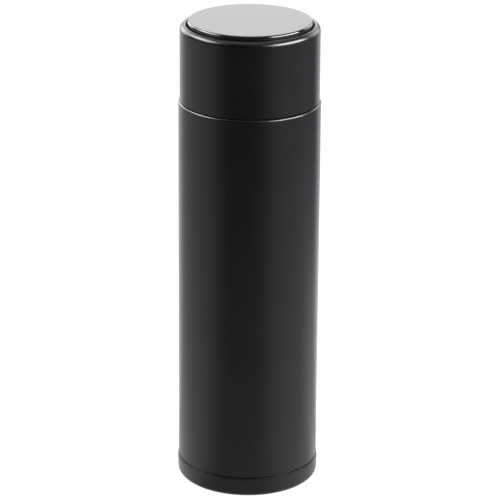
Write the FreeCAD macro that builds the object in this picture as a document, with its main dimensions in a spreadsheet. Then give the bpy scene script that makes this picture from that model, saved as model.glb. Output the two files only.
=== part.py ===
# Double-wall vacuum flask with a screw-on lid that carries a small temperature display.
# Millimetres, +Z up, origin at the centre of the rest face under the base cup.
# Three groups: the bottle (fixed), the lid gasket, and the lid, which screws off on a
# three-start right-hand thread.
import FreeCAD, Part
import Sketcher
import math
import os

V = FreeCAD.Vector
doc = FreeCAD.newDocument("VacuumFlask")

# ---------------------------------------------------------------- driving dimensions
SIZES = [
    # bottle, outside
    ("body_radius", 32.5, "outer shell radius"),
    ("shell_wall", 0.5, "outer shell sheet"),
    ("step_radius", 31.9, "necked-down lower end of the shell"),
    ("step_top", 9.7, "height of the step under the wall"),
    ("shell_foot", 4.0, "lower edge of the shell"),
    ("shoulder_top", 183.6, "top of the shoulder"),
    ("shoulder_fillet", 1.0, "shoulder edge rounding"),
    ("cup_radius", 33.0, "base cup at its widest, below the crown"),
    ("cup_low_radius", 32.8, "base cup above its bottom rounding"),
    ("crown_low", 7.05, "height where the wall of the base cup starts to lean in"),
    ("crown_round", 12.0, "radius of that gentle crown"),
    ("crown_end", 32.7769, "radius where the crown ends"),
    ("crown_high", 9.353, "height where the crown ends"),
    ("cup_lip", 32.6592, "radius where the flat top edge starts"),
    ("cup_top", 9.45, "top edge of the base cup"),
    ("cup_edge", 0.12, "rounding of the base cup top edge"),
    ("cup_wall", 0.6, "base cup sheet"),
    ("cup_fillet", 3.0, "base cup bottom rounding"),
    ("cup_bore", 31.95, "base cup inner radius"),
    ("foot_inner", 26.0, "inner radius of the resting ring"),
    ("foot_recess", 0.8, "height of the recess under the base"),
    # bottle, neck and liner
    ("neck_radius", 24.6, "outside of the neck ring, thread root"),
    ("neck_inner", 24.0, "inside of the neck ring"),
    ("neck_foot", 181.6, "lower edge of the neck ring"),
    ("lip_top", 201.0, "top of the drinking lip"),
    ("lip_round", 0.6, "lip edge rounding"),
    ("liner_neck", 22.8, "liner neck, outside"),
    ("liner_radius", 29.4, "liner wall, outside"),
    ("liner_wall", 0.4, "liner sheet"),
    ("liner_floor", 11.0, "underside of the liner"),
    ("liner_corner", 8.0, "liner bottom corner"),
    ("liner_bend", 164.0, "top of the straight liner wall"),
    ("liner_crown", 4.0, "liner shoulder, convex bend"),
    # thread
    ("thread_crest", 25.8, "male crest radius"),
    ("thread_base_w", 2.2, "ridge width at the root"),
    ("thread_crest_w", 1.0, "ridge width at the crest"),
    ("thread_lead", 12.0, "lead of the three-start thread"),
    ("thread_start", 188.1, "height of the first male ridge centre"),
    ("thread_turns", 0.75, "turns of each male ridge"),
    ("thread_gap", 2.0, "female ridge above the male ridge"),
    ("cap_thread_turns", 0.6, "turns of each female ridge"),
    ("thread_root_bite", 0.2, "how far a ridge goes into its wall"),
    # vacuum jacket
    ("plate_radius", 31.4, "base plate radius"),
    ("plate_low", 5.0, "underside of the base plate"),
    ("plate_wall", 0.5, "base plate sheet"),
    ("plate_flange", 9.0, "top of the base plate flange"),
    ("foil_inner", 29.45, "foil wrap, inside"),
    ("foil_outer", 29.55, "foil wrap, outside"),
    ("foil_low", 30.0, "foil wrap, lower edge"),
    ("foil_high", 158.0, "foil wrap, upper edge"),
    ("seal_hole", 1.2, "evacuation hole radius"),
    ("getter_offset", 17.0, "getter, distance from the axis"),
    ("getter_radius", 4.0, "getter pellet radius"),
    ("getter_height", 2.4, "getter pellet height"),
    # gasket
    ("gasket_inner", 21.6, "gasket inner radius"),
    ("gasket_outer", 25.6, "gasket outer radius"),
    ("gasket_low", 201.1, "underside of the gasket"),
    ("gasket_high", 203.5, "top of the gasket"),
    # cap sleeve
    ("cap_radius", 31.87, "cap sleeve outer radius"),
    ("cap_wall", 0.5, "cap sleeve sheet"),
    ("cap_foot", 183.9, "lower edge of the cap"),
    ("rim_top", 219.2, "crest of the rolled rim"),
    ("rim_arc_low", 216.6911, "height where the rim rounding leaves the wall"),
    ("rim_round", 2.5, "outer rounding of the rim"),
    ("rim_arc_end", 29.7179, "radius where the rounding meets the sloping crown"),
    ("rim_arc_high", 219.1668, "height where the rounding meets the sloping crown"),
    ("crest_start", 29.5126, "radius where the crown meets the inner rounding"),
    ("crest_high", 219.1956, "height where the crown meets the inner rounding"),
    ("rim_inner", 29.0, "inner wall of the rim"),
    ("rim_inner_round", 0.45, "inner rounding of the rim"),
    ("rim_inside", 218.6869, "height of the rolled sheet's inside over the flange"),
    ("rim_flange_low", 214.5, "lower edge of the turned-in flange"),
    # cap core
    ("core_bore", 26.1, "thread bore of the core, female root"),
    ("core_crest", 24.9, "female crest radius"),
    ("core_skirt", 28.4, "outside of the threaded skirt"),
    ("core_foot", 184.1, "underside of the core"),
    ("core_flange", 31.2, "flange radius inside the sleeve"),
    ("core_foot_top", 186.4, "top of the lower flange"),
    ("core_web_low", 203.7, "underside of the web over the gasket"),
    ("core_web_top", 205.7, "top of the web"),
    ("boss_radius", 21.4, "plug boss radius"),
    ("boss_low", 199.6, "underside of the plug boss"),
    ("boss_inner", 19.4, "inside of the plug cup"),
    ("boss_floor", 201.9, "floor of the plug cup"),
    ("hub_radius", 7.5, "hub round the probe"),
    ("hub_top", 203.2, "top of the hub"),
    ("pocket_radius", 5.2, "pocket for the probe flange"),
    ("pocket_roof", 202.2, "roof of the pocket"),
    ("lead_hole", 1.6, "hole for the probe leads"),
    # plug parts
    ("stopper_radius", 20.9, "stopper plate radius"),
    ("stopper_low", 199.0, "underside of the stopper plate"),
    ("stopper_wall", 0.5, "stopper plate sheet"),
    ("probe_radius", 3.0, "probe radius"),
    ("probe_wall", 0.4, "probe sheet"),
    ("probe_tip", 191.0, "lowest point of the probe"),
    ("probe_flange", 5.0, "probe flange radius"),
    ("probe_flange_w", 0.8, "probe flange thickness"),
    ("foam_inner", 7.8, "foam ring, inside"),
    ("foam_outer", 19.2, "foam ring, outside"),
    ("foam_low", 202.0, "underside of the foam"),
    ("foam_high", 205.6, "top of the foam"),
    # electronics
    ("tray_radius", 31.0, "tray flange radius"),
    ("tray_low", 206.0, "underside of the tray"),
    ("tray_floor", 207.6, "floor of the tray"),
    ("tray_wall_outer", 28.8, "tray wall, outside"),
    ("tray_wall_inner", 27.1, "tray wall, inside"),
    ("tray_top", 217.4, "top of the tray wall"),
    ("tray_hole", 2.0, "lead hole in the tray"),
    ("oring_radius", 27.3, "tray O-ring, centre line"),
    ("oring_section", 0.62, "tray O-ring, section radius"),
    ("groove_half", 0.8, "O-ring groove, half width"),
    ("groove_roof", 207.0, "O-ring groove, roof"),
    ("post_circle", 23.5, "screw posts, circle radius"),
    ("post_radius", 2.5, "screw post radius"),
    ("pilot_radius", 0.95, "pilot hole radius"),
    ("board_low", 213.6, "underside of the circuit board"),
    ("board_top", 214.8, "top of the circuit board"),
    ("board_radius", 26.6, "circuit board radius"),
    ("board_hole", 1.2, "screw hole in the board"),
    ("cell_offset", 14.2, "coin cell, distance from the axis"),
    ("cell_radius", 12.25, "coin cell radius"),
    ("cell_low", 207.8, "underside of the coin cell"),
    ("cell_height", 5.0, "coin cell height"),
    ("cradle_inner", 12.6, "cell cradle, inside"),
    ("cradle_outer", 13.5, "cell cradle, outside"),
    ("cradle_top", 210.6, "top of the cell cradle"),
    ("display_w", 22.0, "display module, width"),
    ("display_d", 14.0, "display module, depth"),
    ("display_top", 217.2, "top of the display module"),
    ("display_shift", 2.0, "display module, set back from the axis"),
    ("spring_offset", 10.5, "touch spring, distance from the axis"),
    ("screw_radius", 0.9, "board screw shank"),
    ("screw_head", 1.9, "board screw head radius"),
    ("screw_head_w", 1.2, "board screw head height"),
    ("screw_tip", 208.8, "tip of the board screws"),
    # lens
    ("glue_inner", 27.2, "adhesive ring, inside"),
    ("glue_outer", 28.2, "adhesive ring, outside"),
    ("lens_radius", 28.4, "display lens radius"),
    ("lens_low", 217.8, "underside of the lens"),
    ("lens_top", 221.15, "top of the lens"),
    ("lens_round", 1.0, "lens edge rounding"),
]
sheet = doc.addObject("Spreadsheet::Sheet", "Dims")
VALUE = {}
for row, (alias, value, note) in enumerate(SIZES, start=1):
    sheet.set("A%d" % row, note)
    sheet.set("B%d" % row, str(value))
    sheet.setAlias("B%d" % row, alias)
    VALUE[alias] = value
doc.recompute()


class Size:
    """A length as its number and the sheet expression that keeps it up to date."""

    def __init__(self, value, text):
        self.value = float(value)
        self.text = text

    def __add__(self, other):
        other = size(other)
        return Size(self.value + other.value, "(%s + %s)" % (self.text, other.text))

    def __sub__(self, other):
        other = size(other)
        return Size(self.value - other.value, "(%s - %s)" % (self.text, other.text))

    def __mul__(self, number):
        return Size(self.value * number, "(%s * %r)" % (self.text, number))


def size(thing):
    if isinstance(thing, Size):
        return thing
    if isinstance(thing, str):
        return Size(VALUE[thing], "Dims." + thing)
    return Size(thing, repr(float(thing)))


def plane(body, role):
    return [f for f in body.Origin.OriginFeatures if f.Role == role][0]


def new_body(label):
    body = doc.addObject("PartDesign::Body", "Body_" + label)
    body.Label = label
    return body


def new_sketch(body, name, role):
    sketch = body.newObject("Sketcher::SketchObject", name)
    sketch.AttachmentSupport = [(plane(body, role), "")]
    sketch.MapMode = "FlatFace"
    return sketch


def hold(sketch, geo, pos, x, y):
    """Fix one sketch point at (x, y), each bound to the sheet."""
    for kind, axis, length in (("DistanceX", -2, x), ("DistanceY", -1, y)):
        if abs(length.value) < 1e-9:
            sketch.addConstraint(Sketcher.Constraint("PointOnObject", geo, pos, axis))
        elif length.value > 0:
            n = sketch.addConstraint(Sketcher.Constraint(kind, -1, 1, geo, pos, length.value))
            sketch.setExpression("Constraints[%d]" % n, length.text)
        else:
            n = sketch.addConstraint(Sketcher.Constraint(kind, geo, pos, -1, 1, -length.value))
            sketch.setExpression("Constraints[%d]" % n, "-" + length.text)


def short_arc(a, b, radius, side):
    """The short arc between a and b; side +1 bulges left of a->b, -1 right of it."""
    chord = b.sub(a)
    half = chord.Length / 2.0
    left = V(-chord.y, chord.x, 0)
    left.normalize()
    depth = math.sqrt(max(radius * radius - half * half, 0.0))
    centre = V((a.x + b.x) / 2.0, (a.y + b.y) / 2.0, 0).sub(left.multiply(depth * side))
    first, last = (b, a) if side > 0 else (a, b)
    start = math.atan2(first.y - centre.y, first.x - centre.x)
    end = math.atan2(last.y - centre.y, last.x - centre.x)
    if end < start:
        end += 2.0 * math.pi
    return Part.ArcOfCircle(Part.Circle(centre, V(0, 0, 1), radius), start, end)


def outline(sketch, points):
    """Closed outline. A point is (x, y), or (x, y, radius, side) when an arc leads to it."""
    corners = [(size(p[0]), size(p[1])) for p in points]
    where = [V(x.value, y.value, 0) for x, y in corners]
    count = len(points)
    for i in range(count):
        k = (i + 1) % count
        a, b = where[i], where[k]
        if len(points[k]) == 4:
            radius = size(points[k][2])
            sketch.addGeometry(short_arc(a, b, radius.value, points[k][3]), False)
        else:
            sketch.addGeometry(Part.LineSegment(a, b), False)
    # an arc always runs counter-clockwise, so its ends are told apart by place
    ends = []
    for i in range(count):
        a = where[i]
        start = sketch.Geometry[i].StartPoint
        first = 1 if start.distanceToPoint(a) < 1e-6 else 2
        ends.append((first, 3 - first))
    for i in range(count):
        k = (i + 1) % count
        sketch.addConstraint(Sketcher.Constraint("Coincident", i, ends[i][1], k, ends[k][0]))
    for i in range(count):
        hold(sketch, i, ends[i][0], corners[i][0], corners[i][1])
    for i in range(count):
        k = (i + 1) % count
        if len(points[k]) != 4:
            continue
        radius = size(points[k][2])
        n = sketch.addConstraint(Sketcher.Constraint("Radius", i, radius.value))
        sketch.setExpression("Constraints[%d]" % n, radius.text)


def lathe(label, points, body=None):
    """A turned piece: half section in the XZ plane, revolved about Z."""
    body = body or new_body(label)
    sketch = new_sketch(body, label + "_section", "XZ_Plane")
    outline(sketch, points)
    turn = body.newObject("PartDesign::Revolution", label + "_turned")
    turn.Profile = sketch
    turn.ReferenceAxis = (sketch, ["V_Axis"])
    turn.Angle = 360
    body.Tip = turn
    return body


def ridges(body, label, points, turns):
    """Three helical ridges, one swept along the right-hand helix and patterned."""
    sketch = new_sketch(body, label + "_ridge_section", "XZ_Plane")
    outline(sketch, points)
    helix = body.newObject("PartDesign::AdditiveHelix", label + "_ridge")
    helix.Profile = sketch
    helix.ReferenceAxis = (sketch, ["V_Axis"])
    helix.Mode = 1
    helix.setExpression("Pitch", "Dims.thread_lead")
    helix.setExpression("Turns", "Dims." + turns)
    helix.LeftHanded = False
    doc.recompute()
    pattern = body.newObject("PartDesign::PolarPattern", label + "_starts")
    pattern.Originals = [helix]
    pattern.Axis = (sketch, ["V_Axis"])
    pattern.Angle = 360
    pattern.Occurrences = 3
    body.Tip = pattern


def disc_sketch(body, name, radius, x=0.0, y=0.0, z=0.0):
    sketch = new_sketch(body, name, "XY_Plane")
    radius, x, y, z = size(radius), size(x), size(y), size(z)
    sketch.addGeometry(Part.Circle(V(x.value, y.value, 0), V(0, 0, 1), radius.value), False)
    if abs(x.value) < 1e-9 and abs(y.value) < 1e-9:
        sketch.addConstraint(Sketcher.Constraint("Coincident", 0, 3, -1, 1))
    else:
        hold(sketch, 0, 3, x, y)
    n = sketch.addConstraint(Sketcher.Constraint("Radius", 0, radius.value))
    sketch.setExpression("Constraints[%d]" % n, radius.text)
    sketch.AttachmentOffset = FreeCAD.Placement(V(0, 0, z.value), FreeCAD.Rotation())
    sketch.setExpression("AttachmentOffset.Base.z", z.text)
    return sketch


def rectangle_sketch(body, name, x0, y0, x1, y1, z):
    sketch = new_sketch(body, name, "XY_Plane")
    outline(sketch, [(x0, y0), (x1, y0), (x1, y1), (x0, y1)])
    z = size(z)
    sketch.AttachmentOffset = FreeCAD.Placement(V(0, 0, z.value), FreeCAD.Rotation())
    sketch.setExpression("AttachmentOffset.Base.z", z.text)
    return sketch


def pad(body, name, sketch, length):
    length = size(length)
    feature = body.newObject("PartDesign::Pad", name)
    feature.Profile = sketch
    feature.Length = length.value
    feature.setExpression("Length", length.text)
    body.Tip = feature
    return feature


def pocket(body, name, sketch, length, upwards):
    """Cut from the sketch plane; upwards tells the side, and the volume is compared."""
    length = size(length)
    doc.recompute()
    before = body.Shape.Volume
    feature = body.newObject("PartDesign::Pocket", name)
    feature.Profile = sketch
    feature.Length = length.value
    feature.setExpression("Length", length.text)
    feature.Reversed = bool(upwards)
    body.Tip = feature
    doc.recompute()
    if not body.Shape.Volume < before - 0.01:
        raise RuntimeError(name + " cuts nothing")
    return feature


def around(body, name, feature):
    """Three copies of a feature about the Z axis."""
    pattern = body.newObject("PartDesign::PolarPattern", name)
    pattern.Originals = [feature]
    pattern.Axis = (plane(body, "Z_Axis"), [""])
    pattern.Angle = 360
    pattern.Occurrences = 3
    body.Tip = pattern
    return pattern


def place(body, x=0.0, y=0.0, z=0.0):
    x, y, z = size(x), size(y), size(z)
    body.Placement = FreeCAD.Placement(V(x.value, y.value, z.value), FreeCAD.Rotation())
    for axis, length in (("x", x), ("y", y), ("z", z)):
        body.setExpression("Placement.Base." + axis, length.text)


d = size
parts = []

# ---------------------------------------------------------------- bottle
parts.append(lathe("outer_shell", [
    ("neck_radius", "shoulder_top"),
    (d("body_radius") - "shoulder_fillet", "shoulder_top"),
    ("body_radius", d("shoulder_top") - "shoulder_fillet", "shoulder_fillet", 1),
    ("body_radius", "step_top"),
    ("step_radius", "step_top"),
    ("step_radius", "shell_foot"),
    (d("step_radius") - "shell_wall", "shell_foot"),
    (d("step_radius") - "shell_wall", d("step_top") + "shell_wall"),
    (d("body_radius") - "shell_wall", d("step_top") + "shell_wall"),
    (d("body_radius") - "shell_wall", d("shoulder_top") - "shoulder_fillet"),
    (d("body_radius") - "shoulder_fillet", d("shoulder_top") - "shell_wall",
     d("shoulder_fillet") - "shell_wall", -1),
    ("neck_radius", d("shoulder_top") - "shell_wall"),
]))

# neck ring, its lip folded in to the liner, and the three ridges
neck = lathe("threaded_neck", [
    ("neck_inner", "neck_foot"),
    ("neck_radius", "neck_foot"),
    ("neck_radius", d("lip_top") - "lip_round"),
    (d("neck_radius") - "lip_round", "lip_top", "lip_round", -1),
    ("liner_neck", "lip_top"),
    ("liner_neck", d("lip_top") - "lip_round"),
    ("neck_inner", d("lip_top") - "lip_round"),
])
half_base = d("thread_base_w") * 0.5
half_crest = d("thread_crest_w") * 0.5
bite = d("thread_root_bite")
ridges(neck, "neck", [
    (d("neck_radius") - bite, d("thread_start") - half_base),
    ("neck_radius", d("thread_start") - half_base),
    ("thread_crest", d("thread_start") - half_crest),
    ("thread_crest", d("thread_start") + half_crest),
    ("neck_radius", d("thread_start") + half_base),
    (d("neck_radius") - bite, d("thread_start") + half_base),
], "thread_turns")
parts.append(neck)

crown_x = d("liner_radius") - "liner_crown"
flare = crown_x - "liner_neck"
parts.append(lathe("inner_liner", [
    (0, "liner_floor"),
    (d("liner_radius") - "liner_corner", "liner_floor"),
    ("liner_radius", d("liner_floor") + "liner_corner", "liner_corner", -1),
    ("liner_radius", "liner_bend"),
    (crown_x, d("liner_bend") + "liner_crown", "liner_crown", -1),
    ("liner_neck", d("liner_bend") + "liner_crown" + flare, flare, 1),
    ("liner_neck", "lip_top"),
    (d("liner_neck") - "liner_wall", "lip_top"),
    (d("liner_neck") - "liner_wall", d("liner_bend") + "liner_crown" + flare),
    (crown_x, d("liner_bend") + "liner_crown" - "liner_wall", flare + "liner_wall", -1),
    (d("liner_radius") - "liner_wall", "liner_bend", d("liner_crown") - "liner_wall", 1),
    (d("liner_radius") - "liner_wall", d("liner_floor") + "liner_corner"),
    (d("liner_radius") - "liner_corner", d("liner_floor") + "liner_wall",
     d("liner_corner") - "liner_wall", 1),
    (0, d("liner_floor") + "liner_wall"),
]))

parts.append(lathe("copper_foil_wrap", [
    ("foil_inner", "foil_low"), ("foil_outer", "foil_low"),
    ("foil_outer", "foil_high"), ("foil_inner", "foil_high"),
]))

# closing plate with a raised dimple round the evacuation hole
parts.append(lathe("outer_base_plate", [
    ("seal_hole", d("plate_low") + 1.0),
    (6.0, d("plate_low") + 1.0),
    (7.0, "plate_low"),
    ("plate_radius", "plate_low"),
    ("plate_radius", "plate_flange"),
    (d("plate_radius") - "plate_wall", "plate_flange"),
    (d("plate_radius") - "plate_wall", d("plate_low") + "plate_wall"),
    (7.3, d("plate_low") + "plate_wall"),
    (6.3, d("plate_low") + 1.0 + "plate_wall"),
    ("seal_hole", d("plate_low") + 1.0 + "plate_wall"),
]))
parts.append(lathe("vacuum_seal_bead", [
    (0, d("plate_low") - 0.2),
    (0.3, d("plate_low") - 0.2),
    (2.6, d("plate_low") + 1.0, 3.6, -1),
    ("seal_hole", d("plate_low") + 1.0),
    ("seal_hole", d("plate_low") + 1.9),
    (0, d("plate_low") + 1.9),
]))

holder = lathe("getter_holder", [
    (0, 0), (d("getter_radius") + 0.6, 0),
    (d("getter_radius") + 0.6, 2.4), (d("getter_radius") + 0.15, 2.4),
    (d("getter_radius") + 0.15, 0.45), (0, 0.45),
])
place(holder, x="getter_offset", z=d("plate_low") + "plate_wall")
parts.append(holder)
pellet = lathe("getter_pellet", [
    (0, 0), ("getter_radius", 0), ("getter_radius", d("getter_height") - 0.3),
    (d("getter_radius") - 0.3, "getter_height", 0.3, -1), (0, "getter_height"),
])
place(pellet, x="getter_offset", z=d("plate_low") + "plate_wall" + 0.45)
parts.append(pellet)

parts.append(lathe("base_cup", [
    (0, "foot_recess"),
    (d("foot_inner") - "foot_recess", "foot_recess"),
    ("foot_inner", 0),
    (d("cup_low_radius") - "cup_fillet", 0),
    ("cup_low_radius", "cup_fillet", "cup_fillet", -1),
    ("cup_radius", "crown_low"),
    ("crown_end", "crown_high", "crown_round", -1),
    ("cup_lip", "cup_top", "cup_edge", -1),
    ("cup_bore", "cup_top"),
    ("cup_bore", "cup_fillet"),
    (d("cup_bore") - (d("cup_fillet") - "cup_wall"), "cup_wall", d("cup_fillet") - "cup_wall", 1),
    (d("foot_inner") + 0.3, "cup_wall"),
    (d("foot_inner") - "foot_recess" + 0.3, d("foot_recess") + "cup_wall"),
    (0, d("foot_recess") + "cup_wall"),
]))

# ---------------------------------------------------------------- gasket
parts.append(lathe("lid_gasket", [
    (d("gasket_inner") + 0.3, "gasket_low", 0.3, -1),
    (d("gasket_outer") - 0.3, "gasket_low"),
    ("gasket_outer", d("gasket_low") + 0.3, 0.3, -1),
    ("gasket_outer", d("gasket_high") - 0.3),
    (d("gasket_outer") - 0.3, "gasket_high", 0.3, -1),
    (d("gasket_inner") + 0.3, "gasket_high"),
    ("gasket_inner", d("gasket_high") - 0.3, 0.3, -1),
    ("gasket_inner", d("gasket_low") + 0.3),
]))

# ---------------------------------------------------------------- lid: shell and core
parts.append(lathe("cap_sleeve", [
    (d("cap_radius") - "cap_wall", "cap_foot"),
    ("cap_radius", "cap_foot"),
    ("cap_radius", "rim_arc_low"),
    ("rim_arc_end", "rim_arc_high", "rim_round", -1),
    ("crest_start", "crest_high"),
    ("rim_inner", d("rim_top") - "rim_inner_round", "rim_inner_round", -1),
    ("rim_inner", "rim_flange_low"),
    (d("rim_inner") + "cap_wall", "rim_flange_low"),
    (d("rim_inner") + "cap_wall", "rim_inside"),
    (d("cap_radius") - "cap_wall", "rim_arc_low", d("rim_round") - "cap_wall", 1),
]))

core = lathe("cap_core", [
    ("core_bore", "core_foot"),
    ("core_flange", "core_foot"),
    ("core_flange", "core_foot_top"),
    ("core_skirt", "core_foot_top"),
    ("core_skirt", "core_web_low"),
    ("core_flange", "core_web_low"),
    ("core_flange", "core_web_top"),
    ("boss_inner", "core_web_top"),
    ("boss_inner", "boss_floor"),
    ("hub_radius", "boss_floor"),
    ("hub_radius", "hub_top"),
    ("lead_hole", "hub_top"),
    ("lead_hole", "pocket_roof"),
    ("pocket_radius", "pocket_roof"),
    ("pocket_radius", "boss_low"),
    ("boss_radius", "boss_low"),
    ("boss_radius", "core_web_low"),
    ("core_bore", "core_web_low"),
])
female = d("thread_start") + "thread_gap"
ridges(core, "core", [
    (d("core_bore") + bite, female - half_base),
    ("core_bore", female - half_base),
    ("core_crest", female - half_crest),
    ("core_crest", female + half_crest),
    ("core_bore", female + half_base),
    (d("core_bore") + bite, female + half_base),
], "cap_thread_turns")
parts.append(core)

parts.append(lathe("stopper_plate", [
    (d("probe_radius") + 0.1, "stopper_low"),
    (d("stopper_radius") - 0.4, "stopper_low"),
    ("stopper_radius", d("stopper_low") + 0.4, 0.4, -1),
    ("stopper_radius", d("stopper_low") + "stopper_wall"),
    (d("probe_radius") + 0.1, d("stopper_low") + "stopper_wall"),
]))
probe = lathe("sensor_probe", [
    (0, "probe_tip"),
    (0.4, "probe_tip"),
    ("probe_radius", d("probe_tip") + "probe_radius" - 0.4, d("probe_radius") - 0.4, -1),
    ("probe_radius", "boss_low"),
    ("probe_flange", "boss_low"),
    ("probe_flange", d("boss_low") + "probe_flange_w"),
    (0, d("boss_low") + "probe_flange_w"),
])
bore = disc_sketch(probe, "probe_bore_outline", d("probe_radius") - "probe_wall",
                   z=d("boss_low") + "probe_flange_w")
pocket(probe, "probe_bore", bore,
       d("boss_low") + "probe_flange_w" - "probe_tip" - "probe_wall" - 1.0, False)
parts.append(probe)
seal = doc.addObject("Part::Torus", "ProbeSeal")
seal.Label = "probe_seal"
seal.Radius1 = 4.1
seal.Radius2 = 0.85
seal.Placement = FreeCAD.Placement(V(0, 0, VALUE["pocket_roof"] - 0.9), FreeCAD.Rotation())
seal.setExpression("Placement.Base.z", "Dims.pocket_roof - 0.9")
seal.setExpression("Radius1", "Dims.pocket_radius - 1.1")
parts.append(seal)
parts.append(lathe("thermistor", [
    (0, d("probe_tip") + 1.6),
    (0.3, d("probe_tip") + 1.6),
    (1.2, d("probe_tip") + 2.5, 0.9, -1),
    (1.2, d("probe_tip") + 3.6),
    (0.3, d("probe_tip") + 4.5, 0.9, -1),
    (0, d("probe_tip") + 4.5),
]))
wires = []
for n, side in enumerate((-0.65, 0.65)):
    wire = doc.addObject("Part::Cylinder", "Lead%d" % n)
    wire.Radius = 0.3
    wire.setExpression("Height", "Dims.board_low - 0.1 - (Dims.probe_tip + 4.6)")
    wire.Placement = FreeCAD.Placement(V(0, side, VALUE["probe_tip"] + 4.6), FreeCAD.Rotation())
    wire.setExpression("Placement.Base.z", "Dims.probe_tip + 4.6")
    wires.append(wire)
leads = doc.addObject("Part::MultiFuse", "Leads")
leads.Label = "thermistor_leads"
leads.Shapes = wires
parts.append(leads)
parts.append(lathe("insulation_ring", [
    ("foam_inner", "foam_low"), ("foam_outer", "foam_low"),
    ("foam_outer", "foam_high"), ("foam_inner", "foam_high"),
]))

# ---------------------------------------------------------------- lid: electronics
tray = lathe("electronics_tray", [
    ("tray_hole", "tray_low"),
    (d("oring_radius") - "groove_half", "tray_low"),
    (d("oring_radius") - "groove_half", "groove_roof"),
    (d("oring_radius") + "groove_half", "groove_roof"),
    (d("oring_radius") + "groove_half", "tray_low"),
    ("tray_radius", "tray_low"),
    ("tray_radius", "tray_floor"),
    ("tray_wall_outer", "tray_floor"),
    ("tray_wall_outer", "tray_top"),
    ("tray_wall_inner", "tray_top"),
    ("tray_wall_inner", "tray_floor"),
    ("tray_hole", "tray_floor"),
])
# a cradle round the coin cell, then the screw posts with their pilot holes
ring = disc_sketch(tray, "cradle_section", "cradle_outer", x=d("cell_offset") * -1.0, z=d("tray_floor") - 0.2)
ring.addGeometry(Part.Circle(V(-VALUE["cell_offset"], 0, 0), V(0, 0, 1), VALUE["cradle_inner"]), False)
ring.addConstraint(Sketcher.Constraint("Coincident", 1, 3, 0, 3))
n = ring.addConstraint(Sketcher.Constraint("Radius", 1, VALUE["cradle_inner"]))
ring.setExpression("Constraints[%d]" % n, "Dims.cradle_inner")
pad(tray, "cell_cradle", ring, d("cradle_top") - "tray_floor" + 0.2)
doc.recompute()
post_sketch = disc_sketch(tray, "post_section", "post_radius", x="post_circle", z=d("tray_floor") - 0.2)
post = pad(tray, "screw_post", post_sketch, d("board_low") - "tray_floor" + 0.2)
doc.recompute()
around(tray, "screw_posts", post)
doc.recompute()
pilot_sketch = disc_sketch(tray, "pilot_section", "pilot_radius", x="post_circle", z="board_low")
pilot = pocket(tray, "pilot_hole", pilot_sketch, d("board_low") - "screw_tip" + 0.3, False)
around(tray, "pilot_holes", pilot)
parts.append(tray)

oring = doc.addObject("Part::Torus", "TrayORing")
oring.Label = "tray_oring"
oring.setExpression("Radius1", "Dims.oring_radius")
oring.setExpression("Radius2", "Dims.oring_section")
oring.Placement = FreeCAD.Placement(V(0, 0, 206.36), FreeCAD.Rotation())
oring.setExpression("Placement.Base.z", "Dims.groove_roof - Dims.oring_section - 0.02")
parts.append(oring)

cell = lathe("battery_cell", [
    (0, 0), (d("cell_radius") - 1.6, 0), (d("cell_radius") - 1.2, 0.4), ("cell_radius", 0.4),
    ("cell_radius", d("cell_height") - 0.4), (d("cell_radius") - 0.4, "cell_height", 0.4, -1),
    (0, "cell_height"),
])
place(cell, x=d("cell_offset") * -1.0, z="cell_low")
parts.append(cell)

clip = new_body("battery_clip")
clip_sketch = new_sketch(clip, "clip_section", "XZ_Plane")
outline(clip_sketch, [
    (-21.0, d("board_low") - 0.35), (-17.5, d("board_low") - 0.35), (-16.5, d("board_low") - 0.7),
    (-11.5, d("board_low") - 0.7), (-10.5, d("board_low") - 0.35), (-7.0, d("board_low") - 0.35),
    (-7.0, d("board_low") - 0.05), (-10.3, d("board_low") - 0.05), (-11.3, d("board_low") - 0.4),
    (-16.7, d("board_low") - 0.4), (-17.7, d("board_low") - 0.05), (-21.0, d("board_low") - 0.05),
])
clip_pad = pad(clip, "clip_strip", clip_sketch, 5.0)
clip_pad.Midplane = True
parts.append(clip)

board = new_body("circuit_board")
pad(board, "board_blank", disc_sketch(board, "board_outline", "board_radius", z="board_low"),
    d("board_top") - "board_low")
hole_sketch = disc_sketch(board, "board_hole_outline", "board_hole", x="post_circle", z="board_top")
hole = pocket(board, "board_hole", hole_sketch, d("board_top") - "board_low" + 0.5, False)
around(board, "board_holes", hole)
parts.append(board)

# packages soldered to the top of the board
PACKAGES = [(14.2, -9.0, 6.0, 6.0, 1.1), (15.2, 2.4, 3.2, 2.0, 1.2), (15.0, 7.2, 2.0, 1.25, 0.8),
            (-18.2, -9.0, 4.2, 3.2, 1.3), (-18.5, 1.0, 2.6, 2.6, 1.5), (-17.6, 7.6, 2.0, 1.25, 0.8),
            (-4.2, -18.0, 8.4, 3.0, 1.6), (7.0, -17.2, 3.2, 1.6, 0.9), (-12.0, 13.4, 2.0, 1.25, 0.8)]
packages = []
for n, (x, y, w, depth, tall) in enumerate(PACKAGES):
    block = doc.addObject("Part::Box", "Package%d" % n)
    block.Length, block.Width, block.Height = w, depth, tall
    block.Placement = FreeCAD.Placement(V(x, y, VALUE["board_top"]), FreeCAD.Rotation())
    block.setExpression("Placement.Base.z", "Dims.board_top")
    packages.append(block)
components = doc.addObject("Part::MultiFuse", "Packages")
components.Label = "board_components"
components.Shapes = packages
parts.append(components)

display = new_body("display_module")
half_w = d("display_w") * 0.5
half_d = d("display_d") * 0.5
low_y = half_d * -1.0 - "display_shift"
pad(display, "display_block", rectangle_sketch(
    display, "display_outline", half_w * -1.0, low_y, half_w, half_d - "display_shift", "board_top"),
    d("display_top") - "board_top")
window = rectangle_sketch(display, "window_outline", half_w * -1.0 + 2.0, low_y + 1.6,
                          half_w - 2.0, half_d - "display_shift" - 2.6, "display_top")
pocket(display, "display_window", window, 0.25, False)
parts.append(display)

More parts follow.
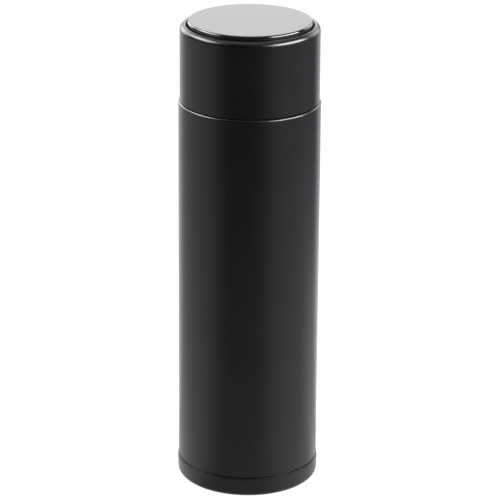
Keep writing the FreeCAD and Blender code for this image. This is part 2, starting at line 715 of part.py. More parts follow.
spring = new_body("touch_spring")
wire_sketch = new_sketch(spring, "spring_wire", "XZ_Plane")
wire_sketch.addGeometry(Part.Circle(V(2.6, 0.36, 0), V(0, 0, 1), 0.3), False)
hold(wire_sketch, 0, 3, size(2.6), size(0.36))
wire_sketch.addConstraint(Sketcher.Constraint("Radius", 0, 0.3))
coil = spring.newObject("PartDesign::AdditiveHelix", "spring_coil")
coil.Profile = wire_sketch
coil.ReferenceAxis = (wire_sketch, ["V_Axis"])
coil.Mode = 1
coil.Pitch = 0.72
coil.Turns = 3
spring.Tip = coil
place(spring, y="spring_offset", z="board_top")
parts.append(spring)

pieces = []
for n in range(3):
    angle = math.radians(120.0 * n)
    x, y = VALUE["post_circle"] * math.cos(angle), VALUE["post_circle"] * math.sin(angle)
    shank = doc.addObject("Part::Cylinder", "Shank%d" % n)
    head = doc.addObject("Part::Cylinder", "Head%d" % n)
    shank.setExpression("Radius", "Dims.screw_radius")
    shank.setExpression("Height", "Dims.board_top - Dims.screw_tip")
    head.setExpression("Radius", "Dims.screw_head")
    head.setExpression("Height", "Dims.screw_head_w")
    for item, alias in ((shank, "screw_tip"), (head, "board_top")):
        item.Placement = FreeCAD.Placement(V(x, y, VALUE[alias]), FreeCAD.Rotation())
        item.setExpression("Placement.Base.x", "Dims.post_circle * %r" % round(math.cos(angle), 9))
        item.setExpression("Placement.Base.y", "Dims.post_circle * %r" % round(math.sin(angle), 9))
        item.setExpression("Placement.Base.z", "Dims." + alias)
        pieces.append(item)
screws = doc.addObject("Part::MultiFuse", "Screws")
screws.Label = "board_screws"
screws.Shapes = pieces
parts.append(screws)

# ---------------------------------------------------------------- lid: lens
parts.append(lathe("lens_adhesive_ring", [
    ("glue_inner", "tray_top"), ("glue_outer", "tray_top"),
    ("glue_outer", "lens_low"), ("glue_inner", "lens_low"),
]))
parts.append(lathe("display_lens", [
    (0, "lens_low"),
    (d("lens_radius") - 0.3, "lens_low"),
    ("lens_radius", d("lens_low") + 0.3),
    ("lens_radius", d("lens_top") - "lens_round"),
    (d("lens_radius") - "lens_round", "lens_top", "lens_round", -1),
    (0, "lens_top"),
]))

# ---------------------------------------------------------------- check and write
doc.recompute()
for item in doc.Objects:
    if "Invalid" in item.State or "Error" in item.State:
        raise RuntimeError("%s (%s) failed: %s" % (item.Name, item.Label, item.State))
for item in parts:
    if item.Shape.isNull() or not item.Shape.isValid() or not item.Shape.Solids:
        raise RuntimeError("%s has no valid shape" % item.Label)
os.makedirs("parts", exist_ok=True)
for item in parts:
    item.Shape.exportStep("parts/%s.step" % item.Label)
    box = item.Shape.BoundBox
    print("%-20s solids %d  volume %9.2f  z %.2f..%.2f  x %.2f..%.2f" % (
        item.Label, len(item.Shape.Solids), item.Shape.Volume, box.ZMin, box.ZMax, box.XMin, box.XMax))
print(len(parts), "parts")
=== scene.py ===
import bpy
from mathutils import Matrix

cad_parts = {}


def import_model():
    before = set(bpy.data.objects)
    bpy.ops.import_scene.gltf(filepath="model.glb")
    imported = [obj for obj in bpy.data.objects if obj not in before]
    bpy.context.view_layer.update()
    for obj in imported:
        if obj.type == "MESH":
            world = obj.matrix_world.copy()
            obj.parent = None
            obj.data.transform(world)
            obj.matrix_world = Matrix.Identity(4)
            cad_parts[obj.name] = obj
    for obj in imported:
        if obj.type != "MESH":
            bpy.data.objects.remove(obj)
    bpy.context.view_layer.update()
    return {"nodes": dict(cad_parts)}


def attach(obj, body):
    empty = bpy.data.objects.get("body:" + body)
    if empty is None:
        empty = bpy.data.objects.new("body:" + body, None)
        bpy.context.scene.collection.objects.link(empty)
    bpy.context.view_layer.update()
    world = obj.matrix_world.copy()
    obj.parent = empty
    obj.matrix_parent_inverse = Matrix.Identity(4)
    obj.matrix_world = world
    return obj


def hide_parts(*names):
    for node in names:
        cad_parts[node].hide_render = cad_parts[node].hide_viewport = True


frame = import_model()

import math

import bpy
from mathutils import Matrix, Vector

MM = 0.001
TAU = 2.0 * math.pi


# ------------------------------------------------------------------ camera
# Fixed first: the flask stands on its axis, the lens looks down on it from about 20 degrees.
def make_camera():
    pitch, yaw, roll = 0.3504, 0.00049, 0.0070
    forward = Vector((math.sin(yaw) * math.cos(pitch), math.cos(yaw) * math.cos(pitch), -math.sin(pitch)))
    right = Vector((math.cos(yaw), -math.sin(yaw), 0.0))
    up = right.cross(forward)
    r2 = right * math.cos(roll) + up * math.sin(roll)
    u2 = up * math.cos(roll) - right * math.sin(roll)
    data = bpy.data.cameras.new("camera")
    data.lens = 202.19
    data.sensor_width = 36.0
    data.clip_start, data.clip_end = 0.01, 60.0
    cam = bpy.data.objects.new("camera", data)
    bpy.context.scene.collection.objects.link(cam)
    turn = Matrix((r2, u2, -forward)).transposed().to_4x4()
    cam.matrix_world = Matrix.Translation(Vector((0.0, -1.22299, 0.557746))) @ turn
    bpy.context.scene.camera = cam


make_camera()


# ------------------------------------------------------------------ materials
def sockets(shader, values):
    for name, value in values.items():
        shader.inputs[name].default_value = value


class Finish:
    """Builds one procedural material: colour, roughness and bump come from procedural textures, some shared between
    them.
    """

    def __init__(self, name):
        self.material = bpy.data.materials.new(name)
        self.material.use_nodes = True
        self.tree = self.material.node_tree
        self.tree.nodes.clear()
        self.out = self.tree.nodes.new("ShaderNodeOutputMaterial")
        self.shader = self.tree.nodes.new("ShaderNodeBsdfPrincipled")
        self.tree.links.new(self.shader.outputs[0], self.out.inputs["Surface"])
        self.coord = self.tree.nodes.new("ShaderNodeTexCoord").outputs["Object"]

    def node(self, kind, **props):
        n = self.tree.nodes.new(kind)
        for k, v in props.items():
            setattr(n, k, v)
        return n

    def link(self, a, b):
        self.tree.links.new(a, b)

    def mapped(self, scale=(1, 1, 1), source=None, rotate=(0, 0, 0)):
        m = self.node("ShaderNodeMapping")
        m.inputs["Scale"].default_value = scale
        m.inputs["Rotation"].default_value = rotate
        self.link(source or self.coord, m.inputs["Vector"])
        return m.outputs[0]

    def turned(self, along=1.0, around=1.0, outwards=1.0):
        """Lathe coordinates (angle, radius, height), each scaled, for marks that run round the axis."""
        parts = self.node("ShaderNodeSeparateXYZ")
        self.link(self.coord, parts.inputs[0])
        angle = self.node("ShaderNodeMath", operation="ARCTAN2")
        self.link(parts.outputs[1], angle.inputs[0])
        self.link(parts.outputs[0], angle.inputs[1])
        flat = self.node("ShaderNodeVectorMath", operation="MULTIPLY")
        self.link(self.coord, flat.inputs[0])
        flat.inputs[1].default_value = (1, 1, 0)
        length = self.node("ShaderNodeVectorMath", operation="LENGTH")
        self.link(flat.outputs[0], length.inputs[0])
        made = self.node("ShaderNodeCombineXYZ")
        for source, factor, slot in ((angle.outputs[0], around, 0), (length.outputs[1], outwards, 1),
                                     (parts.outputs[2], along, 2)):
            times = self.node("ShaderNodeMath", operation="MULTIPLY")
            self.link(source, times.inputs[0])
            times.inputs[1].default_value = factor
            self.link(times.outputs[0], made.inputs[slot])
        return made.outputs[0]

    def noise(self, scale, detail=3.0, rough=0.5, source=None, distort=0.0):
        n = self.node("ShaderNodeTexNoise")
        n.inputs["Scale"].default_value = scale
        n.inputs["Detail"].default_value = detail
        n.inputs["Roughness"].default_value = rough
        n.inputs["Distortion"].default_value = distort
        self.link(source or self.coord, n.inputs["Vector"])
        return n.outputs["Fac"]

    def speckle(self, scale, source=None):
        n = self.node("ShaderNodeTexVoronoi", feature="F1")
        n.inputs["Scale"].default_value = scale
        self.link(source or self.coord, n.inputs["Vector"])
        return n.outputs["Distance"]

    def range(self, value, lo, hi, from_lo=0.3, from_hi=0.7):
        n = self.node("ShaderNodeMapRange")
        n.inputs["From Min"].default_value = from_lo
        n.inputs["From Max"].default_value = from_hi
        n.inputs["To Min"].default_value = lo
        n.inputs["To Max"].default_value = hi
        self.link(value, n.inputs["Value"])
        return n.outputs[0]

    def add(self, a, b, operation="ADD"):
        n = self.node("ShaderNodeMath", operation=operation)
        for k, v in ((0, a), (1, b)):
            if isinstance(v, (int, float)):
                n.inputs[k].default_value = v
            else:
                self.link(v, n.inputs[k])
        return n.outputs[0]

    def colour(self, value, dark, light):
        n = self.node("ShaderNodeValToRGB")
        n.color_ramp.elements[0].position = 0.3
        n.color_ramp.elements[1].position = 0.7
        n.color_ramp.elements[0].color = (*dark, 1)
        n.color_ramp.elements[1].color = (*light, 1)
        self.link(value, n.inputs["Fac"])
        self.link(n.outputs[0], self.shader.inputs["Base Color"])

    def roughness(self, value, lo, hi):
        self.link(self.range(value, lo, hi), self.shader.inputs["Roughness"])

    def bump(self, value, distance, strength=1.0):
        n = self.node("ShaderNodeBump")
        n.inputs["Strength"].default_value = strength
        n.inputs["Distance"].default_value = distance
        self.link(value, n.inputs["Height"])
        self.link(n.outputs[0], self.shader.inputs["Normal"])

    def set(self, **values):
        sockets(self.shader, {k.replace("_", " "): v for k, v in values.items()})
        return self.material


def black_coat(name, tone=1.0):
    """Satin black powder coat: a fine even grain, a faint long mottling, nearly neutral."""
    f = Finish(name)
    wide = f.noise(38.0, 4.0, 0.55)
    grain = f.noise(4200.0, 2.0, 0.6)
    f.colour(wide, (0.0013 * tone, 0.0014 * tone, 0.0019 * tone), (0.0021 * tone, 0.0022 * tone, 0.0028 * tone))
    f.roughness(f.add(f.add(wide, 0.5, "MULTIPLY"), f.add(grain, 0.5, "MULTIPLY")), 0.24, 0.30)
    f.bump(grain, 0.00002, 0.22)
    return f.set(Metallic=0.0, IOR=1.5, Specular_IOR_Level=0.5)


def turned_steel(name, colour, rough=(0.16, 0.30), lines=5200.0, depth=0.000012, radial=False):
    """Bare steel with fine marks that run round the axis."""
    f = Finish(name)
    where = f.turned(along=0.0 if radial else lines, around=2.2, outwards=lines if radial else 0.0)
    marks = f.noise(1.0, 3.0, 0.65, source=where)
    stain = f.noise(55.0, 3.0, 0.5)
    f.colour(f.add(f.add(marks, 0.6, "MULTIPLY"), f.add(stain, 0.4, "MULTIPLY")),
             tuple(c * 0.88 for c in colour), colour)
    f.roughness(marks, *rough)
    f.bump(marks, depth, 0.5)
    return f.set(Metallic=1.0)


def smooth_steel(name, colour, rough=(0.10, 0.22)):
    """Electropolished or plated metal: soft ripple, no direction."""
    f = Finish(name)
    ripple = f.noise(160.0, 4.0, 0.5)
    cloud = f.noise(900.0, 3.0, 0.6)
    f.colour(ripple, tuple(c * 0.92 for c in colour), colour)
    f.roughness(cloud, *rough)
    f.bump(ripple, 0.00005, 0.25)
    return f.set(Metallic=1.0)


def moulded(name, dark, light, rough=(0.42, 0.58), grain=1500.0, depth=0.00003, strength=0.4, **extra):
    """Injection-moulded plastic with spark-eroded grain."""
    f = Finish(name)
    fine = f.noise(grain, 3.0, 0.7)
    wide = f.noise(70.0, 3.0, 0.5)
    f.colour(wide, dark, light)
    f.roughness(fine, *rough)
    f.bump(fine, depth, strength)
    return f.set(**extra)


def rubbery(name, dark, light, rough=(0.38, 0.52), **extra):
    f = Finish(name)
    fine = f.noise(800.0, 4.0, 0.6)
    wide = f.noise(120.0, 2.0, 0.5)
    f.colour(wide, dark, light)
    f.roughness(fine, *rough)
    f.bump(fine, 0.00004, 0.35)
    return f.set(**extra)


def copper_foil():
    f = Finish("copper_foil")
    creases_and_fold_shade = f.noise(90.0, 5.0, 0.6, distort=1.4)
    fine = f.noise(700.0, 3.0, 0.6)
    # painted shade: the colour follows the crease height, darker down in the folds and lighter on the ridges
    f.colour(creases_and_fold_shade, (0.70, 0.36, 0.22), (0.86, 0.50, 0.34))
    f.roughness(fine, 0.18, 0.34)
    f.bump(creases_and_fold_shade, 0.0006, 0.5)
    return f.set(Metallic=1.0)


def board_green():
    f = Finish("board_green")
    tracks = f.node("ShaderNodeTexBrick")
    tracks.inputs["Scale"].default_value = 420.0
    tracks.inputs["Mortar Size"].default_value = 0.06
    f.link(f.mapped((1, 1, 0)), tracks.inputs["Vector"])
    tracks.inputs["Color1"].default_value = (0.012, 0.105, 0.040, 1)
    tracks.inputs["Color2"].default_value = (0.016, 0.130, 0.050, 1)
    tracks.inputs["Mortar"].default_value = (0.030, 0.200, 0.080, 1)
    f.link(tracks.outputs["Color"], f.shader.inputs["Base Color"])
    f.roughness(f.noise(900.0), 0.24, 0.38)
    f.bump(tracks.outputs["Fac"], 0.00002, 0.5)
    return f.set(Coat_Weight=0.4)


def foam():
    f = Finish("closed_cell_foam")
    cells = f.speckle(900.0)
    f.colour(f.noise(150.0), (0.72, 0.72, 0.69), (0.82, 0.82, 0.79))
    f.roughness(cells, 0.75, 0.92)
    f.bump(cells, 0.0002, 0.6)
    return f.set(Subsurface_Weight=0.1)


def gloss_disc():
    """Half-mirrored black glass over the display: deep black head on, pale where it reflects the room."""
    f = Finish("gloss_disc")
    wide = f.noise(26.0, 2.0, 0.5)
    fine = f.noise(420.0, 3.0, 0.6)
    f.colour(wide, (0.0040, 0.0040, 0.0045), (0.0055, 0.0055, 0.0062))
    f.roughness(fine, 0.035, 0.060)
    f.bump(wide, 0.00002, 0.06)
    return f.set(Metallic=0.0, IOR=1.6, Specular_IOR_Level=0.5)


PAINT_SHELL = black_coat("satin_black_shell")
PAINT_CAP = black_coat("satin_black_cap")
PAINT_BASE = black_coat("satin_black_base", 1.1)
STEEL_NECK = turned_steel("turned_neck_steel", (0.60, 0.60, 0.61))
STEEL_LINER = turned_steel("liner_steel", (0.56, 0.56, 0.57), rough=(0.22, 0.36), lines=3000.0)
STEEL_PLATE = turned_steel("spun_stopper_steel", (0.60, 0.60, 0.61), rough=(0.18, 0.32), radial=True)
STEEL_BASE = turned_steel("spun_base_steel", (0.48, 0.48, 0.49), rough=(0.25, 0.42), radial=True)
STEEL_PROBE = smooth_steel("polished_probe_steel", (0.64, 0.64, 0.65), rough=(0.08, 0.16))
PP_BLACK = moulded("moulded_pp_black", (0.018, 0.018, 0.019), (0.024, 0.024, 0.025), rough=(0.36, 0.50))
SILICONE = rubbery("clear_silicone", (0.66, 0.66, 0.64), (0.74, 0.74, 0.72), rough=(0.30, 0.42),
                   Subsurface_Weight=0.35)
DISC = gloss_disc()
MATERIALS = {
    "copper_foil_wrap": copper_foil(),
    "outer_base_plate": STEEL_BASE,
    "vacuum_seal_bead": moulded("fused_seal_glass", (0.20, 0.23, 0.20), (0.28, 0.31, 0.27), rough=(0.08, 0.18),
                                grain=500.0),
    "getter_holder": smooth_steel("pressed_clip_steel", (0.50, 0.50, 0.52), rough=(0.22, 0.38)),
    "getter_pellet": moulded("sintered_getter", (0.09, 0.09, 0.095), (0.16, 0.16, 0.165), rough=(0.7, 0.9),
                             grain=2200.0, depth=0.0001, strength=0.7, Metallic=0.6),
    "probe_seal": rubbery("probe_seal_silicone", (0.60, 0.60, 0.58), (0.70, 0.70, 0.68), Subsurface_Weight=0.2),
    "thermistor": moulded("epoxy_bead", (0.012, 0.012, 0.012), (0.02, 0.02, 0.02), rough=(0.15, 0.3)),
    "thermistor_leads": moulded("red_lead_insulation", (0.42, 0.03, 0.02), (0.52, 0.05, 0.03), rough=(0.3, 0.42)),
    "insulation_ring": foam(),
    "electronics_tray": moulded("moulded_abs_tray", (0.026, 0.026, 0.028), (0.034, 0.034, 0.036)),
    "tray_oring": rubbery("nitrile_oring", (0.016, 0.016, 0.016), (0.024, 0.024, 0.024)),
    "battery_cell": turned_steel("nickel_cell_can", (0.62, 0.62, 0.60), rough=(0.2, 0.34), radial=True),
    "battery_clip": smooth_steel("gilt_spring_strip", (0.78, 0.62, 0.34), rough=(0.16, 0.28)),
    "circuit_board": board_green(),
    "board_components": moulded("chip_packages", (0.018, 0.018, 0.018), (0.03, 0.03, 0.03), rough=(0.5, 0.7)),
    "display_module": moulded("display_window", (0.006, 0.006, 0.008), (0.010, 0.010, 0.012), rough=(0.08, 0.16)),
    "touch_spring": smooth_steel("spring_wire", (0.66, 0.66, 0.66), rough=(0.12, 0.24)),
    "board_screws": turned_steel("zinc_screw_steel", (0.55, 0.56, 0.58), rough=(0.2, 0.36), radial=True),
    "lens_adhesive_ring": moulded("adhesive_tape", (0.012, 0.012, 0.012), (0.02, 0.02, 0.02), rough=(0.6, 0.8)),
}


# ------------------------------------------------------------------ turned pieces
def rounded(points, closed, steps=6, longest=6.0):
    """Half section in mm -> list of (r, z, normal in, normal out, tag).

    points are (r, z, round, tag, share): round is the corner's fillet, tag marks the side that leaves the
    corner, share is the most of each neighbouring side that the fillet may take.
    The solid lies left of the path, so the outward normal is to its right."""
    pts = [tuple(p) + (0.0,) * (3 - len(p)) if len(p) < 3 else tuple(p) for p in points]
    count = len(pts)
    rows = []

    def unit(a, b):
        dx, dz = b[0] - a[0], b[1] - a[1]
        n = math.hypot(dx, dz)
        return dx / n, dz / n, n

    for k in range(count):
        here = pts[k]
        tag = here[3] if len(here) > 3 else None
        first, last = (not closed and k == 0), (not closed and k == count - 1)
        if first:
            ox, oz, _ = unit(here, pts[k + 1])
            rows.append([here[0], here[1], None, (oz, -ox), tag])
            continue
        ix, iz, il = unit(pts[k - 1], here)
        if last:
            rows.append([here[0], here[1], (iz, -ix), None, None])
            continue
        ox, oz, ol = unit(here, pts[(k + 1) % count])
        n_in, n_out = (iz, -ix), (oz, -ox)
        turn = math.atan2(ix * oz - iz * ox, ix * ox + iz * oz)
        radius = here[2]
        if radius <= 0 or abs(turn) < 0.02:
            rows.append([here[0], here[1], n_in, n_out, tag])
            continue
        share = here[4] if len(here) > 4 else 0.49
        tangent = min(radius * math.tan(abs(turn) / 2), share * il, share * ol)
        radius = tangent / math.tan(abs(turn) / 2)
        sx, sz = here[0] - ix * tangent, here[1] - iz * tangent
        side = 1.0 if turn > 0 else -1.0
        cx, cz = sx - side * n_in[0] * radius, sz - side * n_in[1] * radius
        n_steps = max(3, int(round(steps * abs(turn) / (math.pi / 2))))
        for i in range(n_steps + 1):
            a = turn * i / n_steps
            nx = n_in[0] * math.cos(a) - n_in[1] * math.sin(a)
            nz = n_in[0] * math.sin(a) + n_in[1] * math.cos(a)
            rows.append([cx + side * nx * radius, cz + side * nz * radius, (nx, nz), (nx, nz),
                         tag if i == n_steps else None])
    # long straight stretches are divided so that the quads stay compact
    full = []
    total = len(rows)
    for i, row in enumerate(rows):
        full.append(tuple(row))
        if not closed and i == total - 1:
            break
        nxt = rows[(i + 1) % total]
        span = math.hypot(nxt[0] - row[0], nxt[1] - row[1])
        step = 0.14 if row[4] == "thread" else longest
        parts = max(1, int(math.ceil(span / step)))
        for j in range(1, parts):
            t = j / parts
            full.append((row[0] + (nxt[0] - row[0]) * t, row[1] + (nxt[1] - row[1]) * t, row[3], row[3], row[4]))
    return full


def turned(name, points, material, closed=True, segments=192, steps=6, longest=6.0, shape=None):
    """Revolves a half section into one closed quad mesh with exact normals.

    shape(angle, r, z) gives the radius on stretches tagged "thread"."""
    rows = rounded(points, closed, steps, longest)
    verts, ring = [], []
    tagged = []
    for i, (r, z, n_in, n_out, tag) in enumerate(rows):
        before = rows[i - 1][4] if i else (rows[-1][4] if closed else None)
        inside = shape is not None and tag == "thread" and before == "thread"
        tagged.append(inside)
        if r < 1e-9:
            ring.append([len(verts)] * segments)
            verts.append((0.0, 0.0, z * MM))
            continue
        ids = []
        for k in range(segments):
            a = TAU * k / segments
            rr = shape(a, r, z) if inside else r
            ids.append(len(verts))
            verts.append((rr * math.cos(a) * MM, rr * math.sin(a) * MM, z * MM))
        ring.append(ids)
    faces, normals = [], []

    def normal_at(row, k, outgoing):
        if tagged[row]:
            a = TAU * k / segments
            r, z = rows[row][0], rows[row][1]
            da, dz = 0.004, 0.05
            r0 = shape(a, r, z)
            dr_a = (shape(a + da, r, z) - shape(a - da, r, z)) / (2 * da)
            dr_z = (shape(a, r, z + dz) - shape(a, r, z - dz)) / (2 * dz)
            flip = 1.0 if rows[row][3][0] > 0 else -1.0
            radial = Vector((math.cos(a), math.sin(a), 0)) - Vector((-math.sin(a), math.cos(a), 0)) * (dr_a / r0)
            out = (radial - Vector((0, 0, 1)) * dr_z) * flip
            return out.normalized()
        a = TAU * k / segments
        n = rows[row][3] if outgoing else rows[row][2]
        return Vector((n[0] * math.cos(a), n[0] * math.sin(a), n[1])).normalized()

    spans = range(len(rows)) if closed else range(len(rows) - 1)
    for i in spans:
        j = (i + 1) % len(rows)
        for k in range(segments):
            m = (k + 1) % segments
            corners = [(i, k, True), (i, m, True), (j, m, False), (j, k, False)]
            ids, seen = [], set()
            for row, col, outgoing in corners:
                v = ring[row][col]
                if v in seen:
                    continue
                seen.add(v)
                ids.append((v, normal_at(row, col, outgoing)))
            if len(ids) < 3:
                continue
            faces.append([v for v, _ in ids])
            normals.extend([n for _, n in ids])
    mesh = bpy.data.meshes.new(name)
    mesh.from_pydata(verts, [], faces)
    mesh.update()
    mesh.polygons.foreach_set("use_smooth", [True] * len(mesh.polygons))
    mesh.normals_split_custom_set([tuple(n) for n in normals])
    mesh.materials.append(material)
    obj = bpy.data.objects.new(name, mesh)
    bpy.context.scene.collection.objects.link(obj)
    return obj


def stand_for(obj, node, body):
    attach(obj, body)
    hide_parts(node)
    return obj


def ease(x):
    x = min(max(x, 0.0), 1.0)
    return x * x * (3.0 - 2.0 * x)


def ridge(angle, z, first, turns, start_turn=0.0):
    """Height, 0 to 1, of a three-start right-hand ridge at an angle and height."""
    best = 0.0
    for start in range(3):
        phi = (math.degrees(angle) - 120.0 * start) % 360.0
        if phi > turns * 360.0:
            continue
        away = abs(z - first - 12.0 * phi / 360.0)
        ends = ease(phi / 16.0) * ease((turns * 360.0 - phi) / 16.0)
        best = max(best, ease((1.1 - away) / 0.6) * ends)
    return best


# outer shell
stand_for(turned("flask_shell", [
    (31.9, 4.0, 0.0), (31.9, 9.7, 0.1), (32.5, 9.7, 0.12), (32.5, 183.6, 1.0), (24.62, 183.6, 0.0),
    (24.62, 183.1, 0.0), (32.0, 183.1, 0.5), (32.0, 10.2, 0.1), (31.4, 10.2, 0.1), (31.4, 4.0, 0.0),
], PAINT_SHELL, segments=256, steps=8), "outer_shell", "bottle")

# base cup
stand_for(turned("foot_cup", [
    (0.0, 0.8), (8.0, 0.8), (16.0, 0.8), (25.2, 0.8, 0.4), (26.0, 0.0, 0.25), (32.72, 0.0, 2.9), (33.0, 8.2, 12.0, None, 0.93),
    (32.758, 9.45, 0.05), (31.95, 9.45, 0.05), (31.95, 0.6, 2.3), (26.3, 0.6, 0.1), (25.5, 1.4, 0.1), (0.0, 1.4),
], PAINT_BASE, closed=False, segments=256, steps=8), "base_cup", "bottle")

# neck ring with its three rolled ridges
stand_for(turned("neck_ring", [
    (24.0, 181.6, 0.15), (24.6, 181.6, 0.15), (24.6, 186.2, 0.0, "thread"), (24.6, 199.0, 0.0),
    (24.6, 201.0, 0.58), (22.8, 201.0, 0.0), (22.8, 200.4, 0.0), (24.0, 200.4, 0.2),
], STEEL_NECK, segments=288, steps=7, shape=lambda a, r, z: r + 1.2 * ridge(a, z, 188.1, 0.75)),
    "threaded_neck", "bottle")

# inner bottle
stand_for(turned("liner_bottle", [
    (0.0, 11.0), (8.0, 11.0), (29.4, 11.0, 8.0), (29.4, 168.0, 4.0), (22.8, 168.0, 2.6), (22.8, 201.0, 0.0),
    (22.4, 201.0, 0.2), (22.4, 167.6, 3.0), (29.0, 167.6, 3.6), (29.0, 11.4, 7.6), (8.0, 11.4), (0.0, 11.4),
], STEEL_LINER, closed=False, segments=192, steps=9, longest=8.0), "inner_liner", "bottle")

# gasket
stand_for(turned("gasket_ring", [
    (21.6, 201.1, 0.4), (25.6, 201.1, 0.4), (25.6, 203.5, 0.4), (21.6, 203.5, 0.4),
], SILICONE, segments=192, steps=6), "lid_gasket", "seal")

# cap sleeve with its rolled rim
stand_for(turned("cap_shell", [
    (31.37, 183.9, 0.12), (31.87, 183.9, 0.2), (31.87, 218.8643, 2.5, None, 0.76), (29.0, 219.2676, 0.45),
    (29.0, 214.5, 0.1), (29.5, 214.5, 0.1), (29.5, 218.68, 0.0), (31.37, 218.565, 2.0, None, 0.99),
], PAINT_CAP, segments=256, steps=12), "cap_sleeve", "lid")

# cap core with the matching inside ridges
stand_for(turned("cap_inner", [
    (26.1, 184.1, 0.3), (31.2, 184.1, 0.2), (31.2, 186.4, 0.2), (28.4, 186.4, 0.3), (28.4, 203.7, 0.3),
    (31.2, 203.7, 0.2), (31.2, 205.7, 0.2), (19.4, 205.7, 0.2), (19.4, 201.9, 0.4), (7.5, 201.9, 0.3),
    (7.5, 203.2, 0.3), (1.6, 203.2, 0.2), (1.6, 202.2, 0.1), (5.2, 202.2, 0.1), (5.2, 199.6, 0.15),
    (21.4, 199.6, 0.5), (21.4, 203.7, 0.25), (26.1, 203.7, 0.3), (26.1, 199.6, 0.0, "thread"), (26.1, 187.8, 0.0),
], PP_BLACK, segments=288, steps=5, shape=lambda a, r, z: r - 1.2 * ridge(a, z, 190.1, 0.6)),
    "cap_core", "lid")

# stopper plate and probe
stand_for(turned("stopper_disc", [
    (3.1, 199.0, 0.12), (20.9, 199.0, 0.42), (20.9, 199.5, 0.0), (3.1, 199.5, 0.0),
], STEEL_PLATE, segments=192, steps=6, longest=3.0), "stopper_plate", "lid")
stand_for(turned("probe_tube", [
    (0.0, 191.0), (0.4, 191.0), (3.0, 191.0, 2.55), (3.0, 199.6, 0.2), (5.0, 199.6, 0.15), (5.0, 200.4, 0.15),
    (2.6, 200.4, 0.1), (2.6, 192.4, 0.6), (0.0, 192.4),
], STEEL_PROBE, closed=False, segments=96, steps=10, longest=2.0), "sensor_probe", "lid")

# display disc
stand_for(turned("display_disc", [
    (0.0, 217.8), (8.0, 217.8), (28.4, 217.8, 0.3), (28.4, 221.15, 1.0), (24.0, 221.15), (16.0, 221.15),
    (8.0, 221.15), (3.0, 221.15), (0.0, 221.15),
], DISC, closed=False, segments=256, steps=12), "display_lens", "lid")

# CAD nodes that are shown as they are get their own finish
for name, material in MATERIALS.items():
    node = frame["nodes"][name]
    node.data.materials.clear()
    node.data.materials.append(material)


# ------------------------------------------------------------------ stage and light
def direction(azimuth, elevation):
    """Unit vector; azimuth is turned from the camera's side (-Y) towards +X, in degrees."""
    a, e = math.radians(azimuth), math.radians(elevation)
    return Vector((math.sin(a) * math.cos(e), -math.cos(a) * math.cos(e), math.sin(e)))


class Nodes:
    """Small helper for the stage's and the world's node trees."""

    def __init__(self, tree):
        self.tree = tree
        tree.nodes.clear()

    def new(self, kind, **props):
        n = self.tree.nodes.new(kind)
        for k, v in props.items():
            setattr(n, k, v)
        return n

    def link(self, a, b):
        self.tree.links.new(a, b)

    def math(self, operation, *values):
        n = self.new("ShaderNodeMath", operation=operation)
        for k, v in enumerate(values):
            if isinstance(v, (int, float)):
                n.inputs[k].default_value = v
            else:
                self.link(v, n.inputs[k])
        return n.outputs[0]

    def step(self, value, a, b, lo=0.0, hi=1.0):
        n = self.new("ShaderNodeMapRange", interpolation_type="SMOOTHSTEP")
        for k, v in zip(("From Min", "From Max", "To Min", "To Max"), (a, b, lo, hi)):
            n.inputs[k].default_value = v
        self.link(value, n.inputs["Value"])
        return n.outputs[0]


SWEEP_GLOW = 0.95        # the white sweep glows evenly, like a lit table, so it takes almost no shadow
SWEEP_ALBEDO = 0.08
CARD_BASE, CARD_NEAR, CARD_WIDE = 0.05, 0.25, 0.18
# lobes of the card: (azimuth, zero at this many degrees off, full within, level, near, far, share left far out)
CARD_LOBES = [
    (75, 62, 12, 0.46, 0.28, 0.62, 0.70),
    (-95, 62, 12, 0.49, 0.28, 0.62, 1.05),
    (132, 42, 10, 0.36, 0.22, 0.46, 0.0),
    (180, 54, 24, 1.00, 0.28, 0.62, 1.0),
]


def staged(name, verts, faces, material, glossy, camera, diffuse):
    mesh = bpy.data.meshes.new(name)
    mesh.from_pydata(verts, [], faces)
    mesh.polygons.foreach_set("use_smooth", [True] * len(mesh.polygons))
    mesh.materials.append(material)
    obj = bpy.data.objects.new(name, mesh)
    bpy.context.scene.collection.objects.link(obj)
    obj.visible_glossy, obj.visible_camera, obj.visible_diffuse = glossy, camera, diffuse
    obj.visible_transmission = camera
    obj.visible_shadow = diffuse
    return obj


def glowing(name, strength=1.0, albedo=0.0):
    material = bpy.data.materials.new(name)
    material.use_nodes = True
    n = Nodes(material.node_tree)
    out = n.new("ShaderNodeOutputMaterial")
    glow = n.new("ShaderNodeEmission")
    glow.inputs["Strength"].default_value = strength
    if albedo > 0:
        both = n.new("ShaderNodeAddShader")
        matt = n.new("ShaderNodeBsdfDiffuse")
        matt.inputs["Color"].default_value = (albedo, albedo, albedo, 1)
        n.link(matt.outputs[0], both.inputs[0])
        n.link(glow.outputs[0], both.inputs[1])
        n.link(both.outputs[0], out.inputs["Surface"])
    else:
        n.link(glow.outputs[0], out.inputs["Surface"])
    return material, n, glow


def sheet(size, z):
    return [(-size, -size, z), (size, -size, z), (size, size, z), (-size, size, z)], [(0, 1, 2, 3)]


def floor():
    """White floor and a pale backdrop round it."""
    staged("floor", *sheet(6.0, -0.0001), glowing("floor_white", SWEEP_GLOW, SWEEP_ALBEDO)[0],
           glossy=False, camera=True, diffuse=True)
    around, up, verts, faces = 48, 12, [], []
    for j in range(up + 1):
        e = 0.5 * math.pi * j / up
        for k in range(around):
            a = TAU * k / around
            verts.append((5.9 * math.cos(a) * math.cos(e), 5.9 * math.sin(a) * math.cos(e), 5.9 * math.sin(e) - 0.01))
    for j in range(up):
        for k in range(around):
            m = (k + 1) % around
            faces.append((j * around + k, j * around + m, (j + 1) * around + m, (j + 1) * around + k))
    staged("backdrop", verts, faces, glowing("backdrop_white", SWEEP_GLOW + 0.04)[0],
           glossy=False, camera=True, diffuse=False)


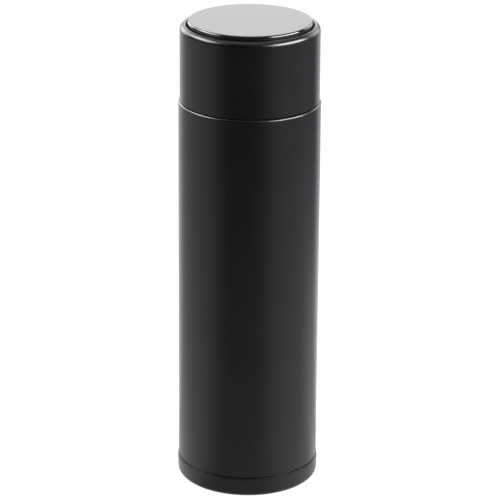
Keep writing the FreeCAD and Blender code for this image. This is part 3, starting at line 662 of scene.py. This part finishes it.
def card():
    """Glowing card on the table, a light seen only in reflections: it glows brighter close by, behind and at the
    sides.
    """
    material, n, glow = glowing("reflection_glow_card")
    where = n.new("ShaderNodeTexCoord").outputs["Object"]
    length = n.new("ShaderNodeVectorMath", operation="LENGTH")
    n.link(where, length.inputs[0])
    out = length.outputs["Value"]
    near = n.math("EXPONENT", n.math("MULTIPLY", out, -1.0 / 0.17))
    wide = n.math("EXPONENT", n.math("MULTIPLY", n.math("MULTIPLY", out, out), -1.0 / 0.25))
    level = n.math("ADD", n.math("MULTIPLY", near, CARD_NEAR),
                   n.math("ADD", n.math("MULTIPLY", wide, CARD_WIDE), CARD_BASE))
    unit = n.new("ShaderNodeVectorMath", operation="NORMALIZE")
    n.link(where, unit.inputs[0])
    for azimuth, zero, full, strength, close, far, left in CARD_LOBES:
        dot = n.new("ShaderNodeVectorMath", operation="DOT_PRODUCT")
        n.link(unit.outputs["Vector"], dot.inputs[0])
        dot.inputs[1].default_value = direction(azimuth, 0)
        side = n.step(dot.outputs["Value"], math.cos(math.radians(zero)), math.cos(math.radians(full)), 0.0, strength)
        level = n.math("ADD", level, n.math("MULTIPLY", side, n.step(out, close, far, 1.0, left)))
    n.link(level, glow.inputs["Strength"])
    glow.inputs["Color"].default_value = (0.985, 0.99, 1.04, 1)
    staged("card", *sheet(5.0, -0.00005), material, glossy=True, camera=False, diffuse=False)


def panel(name, azimuth, elevation, distance, width, height, radiance, aim=(0, 0, 0.12)):
    """Soft box that faces the flask."""
    aim = Vector(aim)
    where = aim + direction(azimuth, elevation) * distance
    data = bpy.data.lights.new(name, "AREA")
    data.shape = "RECTANGLE"
    data.size, data.size_y = width, height
    data.energy = radiance * math.pi * width * height
    obj = bpy.data.objects.new(name, data)
    obj.location = where
    obj.rotation_mode = "QUATERNION"
    obj.rotation_quaternion = (aim - where).to_track_quat("-Z", "Y")
    obj.visible_camera = False
    bpy.context.scene.collection.objects.link(obj)
    return obj


# room light: (azimuth, elevation, half width, softness, level), in degrees
ROOM_LEVEL = 0.02
ROOM = [
    (180, 18, 18, 6, 2.27),
    (180, 55, 22, 10, 0.30),
    (180, 80, 30, 14, 0.75),
    (140, 15, 15, 8, 3.40),
    (-145, 15, 15, 8, 5.40),
]


def world(base=None, lobes=None):
    base, lobes = (ROOM_LEVEL if base is None else base), (ROOM if lobes is None else lobes)
    w = bpy.data.worlds.new("studio")
    bpy.context.scene.world = w
    w.use_nodes = True
    n = Nodes(w.node_tree)
    out = n.new("ShaderNodeOutputWorld")
    back = n.new("ShaderNodeBackground")
    back.inputs["Color"].default_value = (0.995, 0.998, 1.0, 1)
    coord = n.new("ShaderNodeTexCoord").outputs["Generated"]
    level = None
    for azimuth, elevation, half, soft, strength in lobes:
        dot = n.new("ShaderNodeVectorMath", operation="DOT_PRODUCT")
        n.link(coord, dot.inputs[0])
        dot.inputs[1].default_value = direction(azimuth, elevation)
        part = n.step(dot.outputs["Value"], math.cos(math.radians(half + soft)),
                      math.cos(math.radians(max(half - soft, 0))), 0.0, strength)
        level = part if level is None else n.math("MAXIMUM", level, part)
    level = n.math("ADD", level, base) if level is not None else base
    if isinstance(level, float):
        back.inputs["Strength"].default_value = level
    else:
        n.link(level, back.inputs["Strength"])
    n.link(back.outputs[0], out.inputs["Surface"])


PANELS = {
    "softbox_right": (71.0, 31.0, 1.25, 1.30, 0.50, 25.0),
    "softbox_left": (-101.0, 42.0, 1.25, 1.10, 0.50, 14.0),
}

floor()
card()
world()
for name, settings in PANELS.items():
    panel(name, *settings)

scene = bpy.context.scene
scene.view_settings.view_transform = "Standard"
scene.view_settings.look = "None"
scene.view_settings.exposure = 0.0
scene.view_settings.gamma = 1.0
